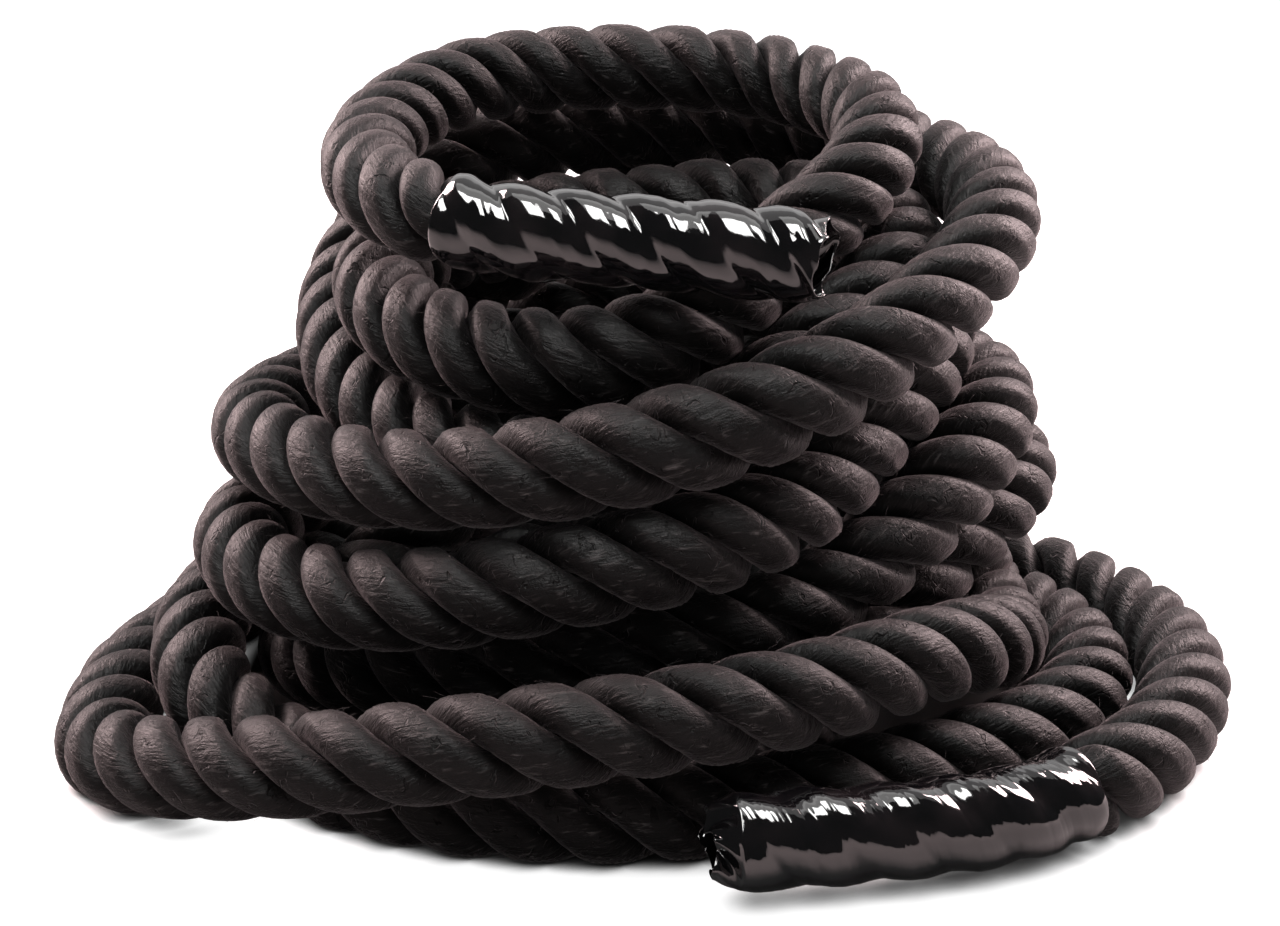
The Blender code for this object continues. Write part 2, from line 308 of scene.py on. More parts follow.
def tubeFaces(rings, sides):
    # quads between the rings of an open tube, with the ring and the side that each corner stands on
    i, j = np.meshgrid(np.arange(rings - 1), np.arange(sides), indexing="ij")
    i, j = i.ravel(), j.ravel()
    nextJ = (j + 1) % sides
    quads = [i * sides + j, i * sides + nextJ, (i + 1) * sides + nextJ, (i + 1) * sides + j]
    ring = [i, i, i + 1, i + 1]
    side = [j, j + 1, j + 1, j]
    return np.column_stack(quads), np.column_stack(ring), np.column_stack(side)


# The three laid strands.

strandSettings = {
    "count": 3,
    "radial": 0.440,          # half a strand's thickness outwards, in rope radii
    "sideways": 0.592,        # half its width round the rope
    "apart": 0.010,           # half the gap where two strands press together
    "fullness": 0.88,         # under 1 makes the crown broader than an ellipse
    "outerHalf": 128,         # the outer sides take so many degrees to either side
    "outerSides": 14,
    "innerSides": 5,
    "ringStep": 0.0021,
    "startAngle": 0.35,
    "wander": 0.10,           # how far the lay runs ahead or behind, in radians
    "wanderLength": 0.23,
    "wanderSeed": 11,
    "ownShare": 0.3,          # of that, what each strand does by itself
    "ownLength": 0.11,
    "ownSeed": 12,
    "tightening": 0.26,       # how much shorter the lay is in the tightest bends
    "bendStart": 6.5,         # the curvature, one over metres, where that begins
    "bendFull": 9.5,
    "bendReach": 0.01,        # curvature is measured this far to either side
    "bendPlaces": 2000,
    "bendsEasedOver": 17,     # of these places
    "swell": 0.030,           # how much a strand's thickness varies
    "swellLength": 0.035,
    "swellOutwards": 0.4,     # the share of it that also goes outwards
    "swellRow": 7,
    "swellSeed": 13,
    "unevenness": 0.026,      # how much its skin rises and falls
    "bundles": 8,             # of yarn round a strand that press outwards
    "bundleLength": 0.013,
    "bundleSeed": 31,
    "fineShare": 0.5,         # bundles half as wide rise half as much
    "fineLength": 0.006,
    "fineSeed": 41,
    "floorSoftness": 0.0020,
    "endDome": 0.0018,
    "domeShares": (0.0, 0.35, 0.65, 0.85, 0.96),
    "yarns": 54,
    "patternShift": 20.0,     # from one strand's yarn pattern to the next
    # where the lay stands fuller: turn, width in turns and how much
    "fuller": [
        (1.03, 0.10, 0.10), (1.48, 0.22, 0.20), (1.74, 0.06, 0.13), (2.48, 0.17, 0.18), (2.72, 0.06, 0.05),
        (2.97, 0.07, 0.09), (3.83, 0.05, 0.11), (3.97, 0.10, 0.06), (4.84, 0.05, 0.11),
    ],
}
endSettings = {
    "overhang": 0.010,        # from the sleeve's cut edge to the rope's cut face
    "sleeveLength": 0.142,
    "squeezed": 0.74,         # the rope's size under the sleeve
    "waisted": 0.677,         # and under the tape
    "tapeEnd": 0.0366,
    "waistLength": 0.002,
    "shoulder": 0.012,
}


def strandOutline(settings):
    # an ellipse moved out from the rope's middle, pressed flat where it would cross into the next third
    half = settings["outerHalf"]
    outer = np.linspace(-math.radians(half), math.radians(half), settings["outerSides"])
    inner = np.linspace(math.radians(half), math.radians(360 - half), settings["innerSides"] + 2)[1:-1]
    angle = np.concatenate([outer, inner])
    bulge = np.sign(np.cos(angle)) * np.abs(np.cos(angle)) ** settings["fullness"]
    x = 1 - settings["radial"] + settings["radial"] * bulge
    y = settings["sideways"] * np.sin(angle)
    slope = math.radians(180 / settings["count"])
    room = x * math.sin(slope) - np.abs(y) * math.cos(slope)
    short = np.maximum(settings["apart"] - room, 0)
    x = x + short * math.sin(slope)
    y = y - np.sign(y) * short * math.cos(slope)
    # the outline starts on the inner side, so that the yarn pattern's seam is hidden there
    first = settings["outerSides"] + settings["innerSides"] // 2
    order = np.roll(np.arange(len(angle)), -first)
    return x[order], y[order]


def ropeSize(distance):
    # the rope's radius as a share of its full one: waisted under the tape, squeezed under the sleeve, eased
    # to full over the shoulder by 3t2 - 2t3, and a bell curve fuller at the chosen places
    fromEnd = np.minimum(distance, lineTotal - distance)
    tight = endSettings["squeezed"]
    full = (fromEnd - endSettings["sleeveLength"]) / endSettings["shoulder"]
    full = np.clip(full, 0, 1)
    full = full * full * (3 - 2 * full)
    waist = np.clip((fromEnd - endSettings["tapeEnd"]) / endSettings["waistLength"], 0, 1)
    under = endSettings["waisted"] + (tight - endSettings["waisted"]) * waist
    turn = np.interp(distance, coilLengths, coilTurns)
    rows = strandSettings["fuller"]
    more = sum(extra * np.exp(-(((turn - at) / width) ** 2)) for at, width, extra in rows)
    return (under + (1 - tight) * full) * (1 + more)


def layTurns(settings):
    # turns of the lay up to even places: its rate rises with the line's curvature, which is the line's second
    # difference over the square of the step
    step = settings["bendReach"]
    change = lineAt(lineLengths + step) - 2 * ropeLine + lineAt(lineLengths - step)
    curvature = np.linalg.norm(change, axis=1) / step**2
    bent = (curvature - settings["bendStart"]) / (settings["bendFull"] - settings["bendStart"])
    even = np.linspace(0, lineTotal, settings["bendPlaces"])
    weights = np.hanning(settings["bendsEasedOver"])
    share = np.interp(even, lineLengths, np.clip(bent, 0, 1))
    share = np.convolve(share, weights / weights.sum(), "same")
    rate = 1 + settings["tightening"] * share
    turns = np.concatenate([[0], np.cumsum((rate[1:] + rate[:-1]) / 2 * np.diff(even))])
    return even, turns / ropeSettings["layLength"]


turnPlaces, turnCounts = layTurns(strandSettings)


def layAngle(distance, strand, settings):
    # where a strand stands round the rope: the lay's turns so far, its own third, and a slow wander
    wander = noiseAlong(distance, settings["wanderLength"], 0, settings["wanderSeed"]) * settings["wander"]
    own = noiseAlong(distance, settings["ownLength"], strand, settings["ownSeed"]) * settings["wander"]
    turn = math.tau * np.interp(distance, turnPlaces, turnCounts)
    third = math.tau * strand / settings["count"]
    return settings["startAngle"] + turn + wander + own * settings["ownShare"] + third


def strandPlaces(settings):
    # lengths along the line of a strand's rings, and their sizes: the last ones close it with a low dome
    first = endSettings["overhang"]
    last = lineTotal - endSettings["overhang"]
    even = np.linspace(first, last, round((last - first) / settings["ringStep"]) + 1)
    domes = np.array(settings["domeShares"])
    past = settings["endDome"] * (1 - domes**2)
    places = np.concatenate([first - past, even, last + past[::-1]])
    return places, np.concatenate([domes, np.ones(len(even)), domes[::-1]])


def strandGrid(strand, place, share, outline, settings):
    # each ring is the outline, swollen unevenly, and turned by the lay's angle in the plane across the line
    x, y = outline
    onLine = np.clip(place, endSettings["overhang"], lineTotal - endSettings["overhang"])
    point, along, side, up = linePlaces(onLine)
    point = point + along * (place - onLine)[:, None]
    row = strand + settings["swellRow"]
    swell = noiseAlong(place, settings["swellLength"], row, settings["swellSeed"]) * settings["swell"]
    swell = 1 + swell[:, None]
    radius = ropeRadius * ropeSize(place)[:, None]
    middle = x.mean() * radius
    outX = (x.mean() + (x - x.mean())[None] * share[:, None]) * radius
    outX = outX * (1 + (swell - 1) * settings["swellOutwards"])
    outY = (y[None] * share[:, None] * swell) * radius
    # its skin rises and falls where bundles of yarn press outwards
    count = settings["bundles"]
    places, at = np.meshgrid(place, np.linspace(0, count, len(x), endpoint=False), indexing="ij")
    skin = easedNoise(places / settings["bundleLength"], at, settings["bundleSeed"] + strand, count)
    fine = easedNoise(places / settings["fineLength"], at * 2, settings["fineSeed"] + strand, count * 2)
    full = 1 + (skin + settings["fineShare"] * fine) * settings["unevenness"] * share[:, None]
    outX = middle + (outX - middle) * full
    outY = outY * full
    angle = layAngle(place, strand, settings)
    across = np.cos(angle)[:, None] * side + np.sin(angle)[:, None] * up
    around = -np.sin(angle)[:, None] * side + np.cos(angle)[:, None] * up
    grid = point[:, None] + outX[..., None] * across[:, None] + outY[..., None] * around[:, None]
    return onFloor(grid, settings["floorSoftness"])


def makeStrand(strand, settings):
    # the rings are joined by quads, and a fan of triangles closes each end
    place, share = strandPlaces(settings)
    x, y = strandOutline(settings)
    grid = strandGrid(strand, place, share, (x, y), settings)
    rings, sides = grid.shape[:2]
    quads, ring, at = tubeFaces(rings - 2, sides)
    quads = quads + 1
    points = np.vstack([grid[0, :1], grid[1:-1].reshape(-1, 3), grid[-1, :1]])
    j = np.arange(sides)
    lastRing = 1 + (rings - 3) * sides
    starts = np.column_stack([np.zeros(sides, int), 1 + (j + 1) % sides, 1 + j])
    ends = np.column_stack([np.full(sides, len(points) - 1), lastRing + j, lastRing + (j + 1) % sides])
    corners = np.concatenate([quads.ravel(), starts.ravel(), ends.ravel()])
    sizes = np.concatenate([np.full(len(quads), 4), np.full(2 * sides, 3)])
    # u counts yarns: a line of constant u runs level with the rope's axis on the crown
    closed = np.append(np.arange(sides), 0)
    steps = np.hypot(np.diff(x[closed]), np.diff(y[closed])) * ropeRadius
    girth = np.concatenate([[0], np.cumsum(steps)])
    girthShare = girth / girth[-1]
    slip = math.tau * ropeRadius / girth[-1] / ropeSettings["layLength"]
    shift = strand * settings["patternShift"]
    u = (girthShare[at] + slip * place[1:-1][ring]) * settings["yarns"]
    v = place[1:-1][ring] + shift
    uvEnd = np.column_stack([np.tile(girthShare[:1], sides), girthShare[j + 1], girthShare[j]])
    uvEnd = np.stack([uvEnd * settings["yarns"], np.full((sides, 3), shift)], axis=2).reshape(-1, 2)
    uv = np.vstack([np.stack([u, v], axis=2).reshape(-1, 2), uvEnd, uvEnd])
    # crown is 0 nearest the rope's middle and 1 on the strand's crown; the yarn's colour uses it for painted
    # shade in the creases
    crown = np.hypot(x, y)
    crown = (crown - crown.min()) / (crown.max() - crown.min())
    crown = np.concatenate([[0.5], np.tile(crown, rings - 2), [0.5]])
    obj = fillMesh(f"strand_{strand + 1}", points, corners, sizes, uv, {"crown": crown})
    domes = len(settings["domeShares"])
    return obj, grid[domes:-domes], place[domes:-domes]


strands = []
strandGrids = []
for number in range(strandSettings["count"]):
    obj, grid, ringPlaces = makeStrand(number, strandSettings)
    strands.append(obj)
    strandGrids.append(grid)
print("strands laid:", len(strands), "of", len(strands[0].data.polygons), "faces")

# The grip sleeves.

topSleeve = {
    "name": "grip_film_top",
    "atStart": True,
    "seed": 3,
    "length": 0.142,
    "ridge": 0.0181,          # radius over a strand
    "groove": 0.0158,         # radius in the crease between two
    "creaseWidth": 0.18,
    "lobePower": 0.9,         # under 1 makes the ridges broader
    "wall": 0.0009,
    "rings": 260,
    "sides": 180,
    "rollSteps": 5,           # round the rim, and round the cut edge, which is flatter
    "cutRoll": 0.6,
    "rimRise": 0.0006,        # the inner rim is rolled a little proud
    "rimBack": 0.003,
    "rimWidth": 0.0035,
    "dents": 0.00042,
    "dentLength": 0.011,
    "dentsAround": 12,
    "fineDents": 0.00008,
    "fineDentLength": 0.005,
    "wrinkles": 0.00006,
    "wrinkleLength": 0.0042,
    "wrinkleLean": 1.5,
    "wrinkleReach": 0.03,
    "wrinkleSharpness": 3,
    "ridgeTightness": 0.4,    # how much of a wrinkle the ridges smooth out
    "drawLength": 0.014,      # how far back from the cut edge the film is drawn in and folded
    "drawn": 0.10,
    "folds": 1.0,
    "foldPower": 1.4,
    # waves round the cut end: how many, how far the seed shifts them, and their height
    "foldWaves": [(2, 1, 0.16), (5, 2.1, 0.07), (9, 1, 0.03)],
    "raggedWaves": [(3, 1, 0.0012), (7, 0, 0.0007)],
    "floorSoftness": 0.0012,
    "patternLength": 0.1,     # along the sleeve, for one unit of its UV map
}
floorSleeve = {
    **topSleeve,
    "name": "grip_film_floor",
    "atStart": False,
    "seed": 8,
    "ridge": 0.0178,
    "groove": 0.0160,
    "creaseWidth": 0.35,
    "dents": 0.00035,
    "fineDents": 0.00012,
    "wrinkles": 0.00010,
    "drawLength": 0.0085,
    "drawn": 0.42,
    "folds": 1.5,
    "foldPower": 0.8,
}


def filmRadius(fromCut, angle, settings):
    # three rounded ridges with a sharp crease between, |cos(1.5 angle)| softened at its foot, plus dents and
    # fine wrinkles in the film
    wave = np.abs(np.cos(strandSettings["count"] / 2 * angle))
    soft, seed = settings["creaseWidth"], settings["seed"]
    lobe = (np.sqrt(wave**2 + soft**2) - soft) / (math.sqrt(1 + soft**2) - soft)
    radius = settings["groove"] + (settings["ridge"] - settings["groove"]) * lobe ** settings["lobePower"]
    count = settings["dentsAround"]
    around = angle / math.tau * count
    dents = easedNoise(fromCut / settings["dentLength"], around, seed, count)
    fine = easedNoise(fromCut / settings["fineDentLength"], around * 2, seed + 1, count * 2)
    radius = radius + settings["dents"] * dents
    radius = radius + settings["fineDents"] * fine
    # wrinkles lean across the ridges, where the film was drawn tight as it shrank
    lean = settings["wrinkleLean"]
    across = fromCut / settings["wrinkleLength"] + around * lean
    folds = easedNoise(across, around / lean + fromCut / settings["wrinkleReach"], seed + 2, 8)
    sharp = np.clip(1 - np.abs(folds) * settings["wrinkleSharpness"], 0, 1)
    return radius - settings["wrinkles"] * sharp * (1 - lobe * settings["ridgeTightness"])


def wavesRound(angle, seed, rows):
    # a sum of sine waves round the sleeve
    return sum(np.sin(count * angle + shift * seed) * height for count, shift, height in rows)


def makeSleeve(settings):
    # the film's outside from the cut edge to the inner rim, round the rim, and back along its inside
    wall = settings["wall"]
    outer = np.linspace(0, settings["length"], settings["rings"])
    roll = np.linspace(0, math.pi, settings["rollSteps"])[1:-1]
    rimTurn = settings["length"] + wall * np.sin(roll)
    cutTurn = -wall * np.sin(roll) * settings["cutRoll"]
    fromCut = np.concatenate([outer, rimTurn, outer[::-1], cutTurn])
    inwards = wall * (1 - np.cos(roll)) / 2
    outwards = wall * (1 + np.cos(roll)) / 2
    depth = np.concatenate([np.zeros(len(outer)), inwards, np.full(len(outer), wall), outwards])
    angle = np.linspace(0, math.tau, settings["sides"], endpoint=False)
    s, a = np.meshgrid(fromCut, angle, indexing="ij")
    radius = filmRadius(s, a, settings)
    rim = np.exp(-(((s - settings["length"] + settings["rimBack"]) / settings["rimWidth"]) ** 2))
    radius = radius + settings["rimRise"] * rim
    # the cut end is drawn in and crumpled
    mouth = np.clip(1 - s / settings["drawLength"], 0, 1) ** settings["foldPower"]
    fold = wavesRound(a, settings["seed"], settings["foldWaves"])
    radius = radius * (1 - mouth * (settings["drawn"] - fold * settings["folds"]))
    radius = radius - depth[:, None]
    ragged = wavesRound(a, settings["seed"], settings["raggedWaves"]) * mouth
    distance = (s + ragged if settings["atStart"] else lineTotal - s - ragged).ravel()
    onLine = np.clip(distance, 0, lineTotal)
    point, along, side, up = linePlaces(onLine)
    point = point + along * (distance - onLine)[:, None]
    turn = layAngle(distance, 0, strandSettings) + a.ravel()
    across = np.cos(turn)[:, None] * side + np.sin(turn)[:, None] * up
    points = onFloor(point + across * radius.ravel()[:, None], settings["floorSoftness"])
    rings, sides = s.shape
    quads, ring, at = tubeFaces(rings + 1, sides)
    quads = quads % (rings * sides)
    if not settings["atStart"]:
        quads = quads[:, ::-1]
        ring, at = ring[:, ::-1], at[:, ::-1]
    v = np.append(fromCut, fromCut[0])[ring]
    uv = np.stack([at / sides, v / settings["patternLength"]], axis=2).reshape(-1, 2)
    return fillMesh(settings["name"], points, quads.ravel(), np.full(len(quads), 4), uv)


sleeveTop = makeSleeve(topSleeve)
sleeveFloor = makeSleeve(floorSleeve)
print("sleeves shrunk on")

# Loose fibres that stand off the strands.

fuzzSettings = {
    "seed": 5,
    "count": 5200,            # on each strand
    "bareRings": 80,          # at each end of a strand, under the sleeve
    "lean": 0.45,             # how far they stray from the rope's direction
    "length": (0.0025, 0.0070),
    "lift": (0.0002, 0.0013),
    "bow": 0.25,
    "thickness": 0.00006,
    "sides": 3,
    "stepShares": (0.0, 0.35, 0.7, 1.0),      # places along a fibre, and its lift and thickness there
    "liftShares": (-0.6, 0.6, 1.0, 1.25),
    "thickShares": (1.0, 1.0, 0.8, 0.35),
    "floorSoftness": 0.0008,
}


def unit(vectors):
    # each vector over its own length
    return vectors / np.linalg.norm(vectors, axis=1)[:, None]


def makeFuzz(number, grid, settings):
    # each fibre is a thin three-sided tube along a low arc that starts and ends near the strand's skin
    random = np.random.default_rng(settings["seed"] + number)
    count, bare, sides = settings["count"], settings["bareRings"], settings["sides"]
    ring = random.integers(bare, len(grid) - bare, count)
    side = random.integers(0, grid.shape[1], count)
    place = grid[ring, side]
    outward = unit(place - grid[ring].mean(axis=1))
    _, along, across, _ = linePlaces(ringPlaces[ring])
    lean = random.normal(0, settings["lean"], count)[:, None]
    direction = along * np.where(random.random(count) < 0.5, -1, 1)[:, None]
    direction = direction + np.cross(outward, along) * lean
    direction = unit(direction - outward * np.sum(direction * outward, axis=1)[:, None])
    length = random.uniform(*settings["length"], count)[:, None]
    lift = random.uniform(*settings["lift"], count)[:, None]
    bow = np.cross(outward, direction) * random.normal(0, settings["bow"], count)[:, None] * length
    steps = np.array(settings["stepShares"])
    rise = np.array(settings["liftShares"])
    path = place[:, None] + direction[:, None] * length[:, None] * steps[None, :, None]
    path = path + outward[:, None] * lift[:, None] * rise[None, :, None]
    path = path + bow[:, None] * (steps**2)[None, :, None]
    thick = settings["thickness"] * np.array(settings["thickShares"])
    angle = np.arange(sides) * math.tau / sides
    third = np.cross(direction, outward)
    way = outward[:, None] * np.cos(angle)[None, :, None] + third[:, None] * np.sin(angle)[None, :, None]
    points = path[:, :, None] + way[:, None] * thick[None, :, None, None]
    points = onFloor(points.reshape(-1, 3), settings["floorSoftness"])
    quads, _, _ = tubeFaces(len(steps), sides)
    each = len(steps) * sides
    caps = np.array([np.roll(np.arange(sides)[::-1], 1), np.arange(each - sides, each)])
    base = (np.arange(count) * each)[:, None, None]
    corners = np.concatenate([(quads[None] + base).reshape(-1), (caps[None] + base).reshape(-1)])
    sizes = np.concatenate([np.full(count * len(quads), 4), np.full(count * 2, sides)])
    return fillMesh(f"fuzz_{number + 1}", points, corners, sizes)


fuzz = [makeFuzz(number, grid, fuzzSettings) for number, grid in enumerate(strandGrids)]
print("fuzz:", sum(len(f.data.polygons) for f in fuzz), "faces")

# Materials.


def addNode(tree, kind, values=None, **settings):
    # a node with its settings, where each input is linked if it is given a socket and else set
    node = tree.nodes.new(kind)
    for key, value in settings.items():
        setattr(node, key, value)
    for key, value in (values or {}).items():
        if isinstance(value, bpy.types.NodeSocket):
            tree.links.new(value, node.inputs[key])
        else:
            node.inputs[key].default_value = value
    return node


def sumNode(tree, operation, first, second=0.5, third=None, clamp=False):
    # first and second, and for MULTIPLY_ADD their product plus third
    values = {0: first, 1: second}
    if third is not None:
        values[2] = third
    return addNode(tree, "ShaderNodeMath", values, operation=operation, use_clamp=clamp).outputs[0]


def rangeNode(tree, value, fromRange, toRange=(0.0, 1.0), smooth=False):
    # value moved from one range to the other and held at its ends, eased there if smooth
    values = {"Value": value, "From Min": fromRange[0], "From Max": fromRange[1]}
    values.update({"To Min": toRange[0], "To Max": toRange[1]})
    style = "SMOOTHSTEP" if smooth else "LINEAR"
    return addNode(tree, "ShaderNodeMapRange", values, interpolation_type=style).outputs[0]


def noiseNode(tree, vector, scale, detail, **more):
    # noise from 0 to 1 at each place of the vector, times scale
    values = {"Vector": vector, "Scale": scale, "Detail": detail, **more}
    return addNode(tree, "ShaderNodeTexNoise", values).outputs["Fac"]


def mixColour(tree, share, first, second):
    # first times (1 - share) plus second times share
    first, second = [(*c, 1.0) if isinstance(c, tuple) else c for c in (first, second)]
    values = {0: share, 6: first, 7: second}
    return addNode(tree, "ShaderNodeMix", values, data_type="RGBA").outputs[2]


def bumpSurface(tree, shader, height, settings):
    # the shader's normals lean as if the surface rose by height times the bump's distance
    values = {"Height": height, "Distance": settings["bump"], "Strength": settings["bumpStrength"]}
    tree.links.new(addNode(tree, "ShaderNodeBump", values).outputs[0], shader.inputs["Normal"])


def newMaterial(name, settings):
    # a material with its node tree and its one shader, whose even values are set on its own sockets
    made = bpy.data.materials.new(name)
    made.use_nodes = True
    shader = made.node_tree.nodes["Principled BSDF"]
    for socket, value in settings["shader"].items():
        shader.inputs[socket].default_value = value
    return made, made.node_tree, shader


yarnPattern = {
    # each noise: its scale across the yarns and along them, offset, detail and distortion
    "noises": {
        "wander": (0.22, 45.0, 2.0, 2.0, 0.0),
        "fibres": (0.80, 120.0, 5.0, 4.0, 0.7),
        "felt": (1.10, 620.0, 16.0, 3.0, 1.0),
        "loosened": (0.30, 80.0, 9.0, 2.0, 0.8),
        "lumps": (0.10, 75.0, 21.0, 2.0, 0.5),
        "split": (0.16, 210.0, 30.0, 2.0, 1.2),
        "patches": (0.05, 14.0, 14.0, 2.0, 0.0),
    },
    "roughness": 0.6,
    "wander": 5.0,            # how many yarns they wander sideways
    "yarnHeight": 0.06,
    "heights": {"fibres": 0.75, "felt": 0.60, "loosened": 0.70, "lumps": 1.80},
    "crackHeight": -0.9,
    "crackRanges": {"split": (0.61, 0.67), "lumps": (0.44, 0.56)},
    "streakRanges": {"fibres": (0.52, 0.68), "loosened": (0.50, 0.64)},
}


def yarnGroup(settings):
    # yarns lie along v and are counted by u: each rises as |sin(u pi / 2)|, and noises add fibres, felt,
    # loosened yarns and lumps; streaks are rubbed pale fibres that also stand for painted glints, and cracks
    # run across where a bend parts them
    group = bpy.data.node_groups.new("yarnFibres", "ShaderNodeTree")
    sockets = {"INPUT": ("Yarn Count", "Length"), "OUTPUT": ("Height", "Streaks", "Cracks", "Patches")}
    for way, names in sockets.items():
        for name in names:
            group.interface.new_socket(name, in_out=way, socket_type="NodeSocketFloat")
    inside = group.nodes.new("NodeGroupInput")
    outside = group.nodes.new("NodeGroupOutput")
    u, v = inside.outputs["Yarn Count"], inside.outputs["Length"]
    noises = {}
    for name, (acrossScale, alongScale, offset, detail, distortion) in settings["noises"].items():
        x = sumNode(group, "MULTIPLY", u, acrossScale)
        y = sumNode(group, "MULTIPLY", v, alongScale)
        vector = addNode(group, "ShaderNodeCombineXYZ", {"X": x, "Y": y, "Z": offset}).outputs[0]
        more = {"Roughness": settings["roughness"], "Distortion": distortion}
        noises[name] = noiseNode(group, vector, 1.0, detail, **more)

    def bothRanged(ranges):
        # the product of two noises, each in its range
        one, two = [rangeNode(group, noises[name], limits) for name, limits in ranges.items()]
        return sumNode(group, "MULTIPLY", one, two)

    shifted = sumNode(group, "MULTIPLY_ADD", noises["wander"], settings["wander"], u)
    wave = sumNode(group, "SINE", sumNode(group, "MULTIPLY", shifted, math.pi * 0.5))
    height = sumNode(group, "MULTIPLY", sumNode(group, "ABSOLUTE", wave), settings["yarnHeight"])
    for name, rise in settings["heights"].items():
        height = sumNode(group, "MULTIPLY_ADD", noises[name], rise, height)
    cracks = bothRanged(settings["crackRanges"])
    height = sumNode(group, "MULTIPLY_ADD", cracks, settings["crackHeight"], height)
    group.links.new(height, outside.inputs["Height"])
    group.links.new(bothRanged(settings["streakRanges"]), outside.inputs["Streaks"])
    group.links.new(cracks, outside.inputs["Cracks"])
    group.links.new(noises["patches"], outside.inputs["Patches"])
    return group


yarnSettings = {
    # creaseShade is painted shade: the colour deep in the creases between strands
    "creaseShade": (0.0025, 0.0022, 0.0022),
    "body": (0.0094, 0.0088, 0.0088),
    "worn": (0.150, 0.140, 0.138),
    "crack": (0.0012, 0.0010, 0.0010),
    "creaseShadeRange": (0.42, 0.80),            # how far out on a strand the painted crease shade gives way to the body's colour
    "wornRange": (0.72, 0.97),            # and the rubbed fibres with their painted glints
    "toneChange": 0.9,                    # from patch to patch, over the least tone
    "leastTone": 0.55,
    "roughness": 0.55,
    "roughnessChange": -0.22,
    "shader": {
        "Specular IOR Level": 0.21,
        "Sheen Weight": 0.29,
        "Sheen Roughness": 0.35,
        "Sheen Tint": (0.90, 0.82, 0.83, 1.0),
    },
    "bump": 0.0007,
    "bumpStrength": 0.9,
}


def makeYarnMaterial(settings, group):
    # dark yarn with painted shade in the creases, rubbed pale fibres on the crowns that also stand for
    # painted glints, and a few dark cracks
    made, tree, shader = newMaterial("ropeYarn", settings)
    uv = addNode(tree, "ShaderNodeUVMap", uv_map="lay")
    parts = addNode(tree, "ShaderNodeSeparateXYZ", {0: uv.outputs[0]})
    counts = {"Yarn Count": parts.outputs["X"], "Length": parts.outputs["Y"]}
    yarns = addNode(tree, "ShaderNodeGroup", counts, node_tree=group)
    crown = addNode(tree, "ShaderNodeAttribute", attribute_name="crown").outputs["Fac"]
    lit = rangeNode(tree, crown, settings["creaseShadeRange"])
    high = rangeNode(tree, crown, settings["wornRange"])
    patches = yarns.outputs["Patches"]
    tone = sumNode(tree, "MULTIPLY_ADD", patches, settings["toneChange"], settings["leastTone"])
    share = sumNode(tree, "MULTIPLY", lit, tone, clamp=True)
    # painted shade: the colour darkens from the body's towards the crease colour deep between the strands
    colour = mixColour(tree, share, settings["creaseShade"], settings["body"])
    # pale streaks on the crowns: partly real rubbed fibres, partly painted highlight glints
    wearAndGlint = sumNode(tree, "MULTIPLY", yarns.outputs["Streaks"], high)
    colour = mixColour(tree, wearAndGlint, colour, settings["worn"])
    colour = mixColour(tree, yarns.outputs["Cracks"], colour, settings["crack"])
    tree.links.new(colour, shader.inputs["Base Color"])
    rough = sumNode(tree, "MULTIPLY_ADD", patches, settings["roughnessChange"], settings["roughness"])
    tree.links.new(rough, shader.inputs["Roughness"])
    bumpSurface(tree, shader, yarns.outputs["Height"], settings)
    return made


fuzzColours = {
    "body": (0.050, 0.042, 0.044),
    "darkest": 0.45,
    "scale": 160.0,
    "detail": 1.0,
    "shader": {"Roughness": 0.6},
}


def makeFuzzMaterial(settings):
    # fibres whose colour changes by noise between the body's and a darker one
    made, tree, shader = newMaterial("ropeFuzz", settings)
    place = addNode(tree, "ShaderNodeTexCoord").outputs["Object"]
    noise = noiseNode(tree, place, settings["scale"], settings["detail"])
    dark = tuple(value * settings["darkest"] for value in settings["body"])
    tree.links.new(mixColour(tree, noise, dark, settings["body"]), shader.inputs["Base Color"])
    return made


filmSettings = {
    "colour": (0.004, 0.004, 0.005),
    "dust": (0.030, 0.024, 0.026),
    "cloudScale": 55.0,
    "cloudDetail": 3.0,
    "fineScale": 420.0,
    "fineDetail": 2.0,
    "dustRange": (0.45, 0.75),            # of the clouds, and how much dust there is at its ends
    "dustShares": (0.0, 0.5),
    "roughRange": (0.3, 0.8),
    "roughness": (0.03, 0.13),
    "fineHeight": 0.3,
    "shader": {"Specular IOR Level": 0.75, "Coat Weight": 1.0, "Coat Roughness": 0.05},
    "bump": 0.00022,
    "bumpStrength": 0.6,
}


def makeFilmMaterial(settings):
    # glossy shrunk film: nearly black, with faint cloudy roughness and fine ripples
    made, tree, shader = newMaterial("sleeveFilm", settings)
    place = addNode(tree, "ShaderNodeTexCoord").outputs["Object"]
    cloud = noiseNode(tree, place, settings["cloudScale"], settings["cloudDetail"])
    fine = noiseNode(tree, place, settings["fineScale"], settings["fineDetail"])
    share = rangeNode(tree, cloud, settings["dustRange"], settings["dustShares"])
    colour = mixColour(tree, share, settings["colour"], settings["dust"])
    tree.links.new(colour, shader.inputs["Base Color"])
    rough = rangeNode(tree, cloud, settings["roughRange"], settings["roughness"])
    tree.links.new(rough, shader.inputs["Roughness"])
    bumpSurface(tree, shader, sumNode(tree, "MULTIPLY_ADD", fine, settings["fineHeight"], cloud), settings)
    return made


tapeSettings = {
    "colour": (0.045, 0.043, 0.042),
    "darkest": 0.5,
    "thread": 225.0,          # the threads' scale
    "distortion": 0.6,
    "shader": {"Roughness": 0.55},
    "bump": 0.0001,
    "bumpStrength": 0.6,
}


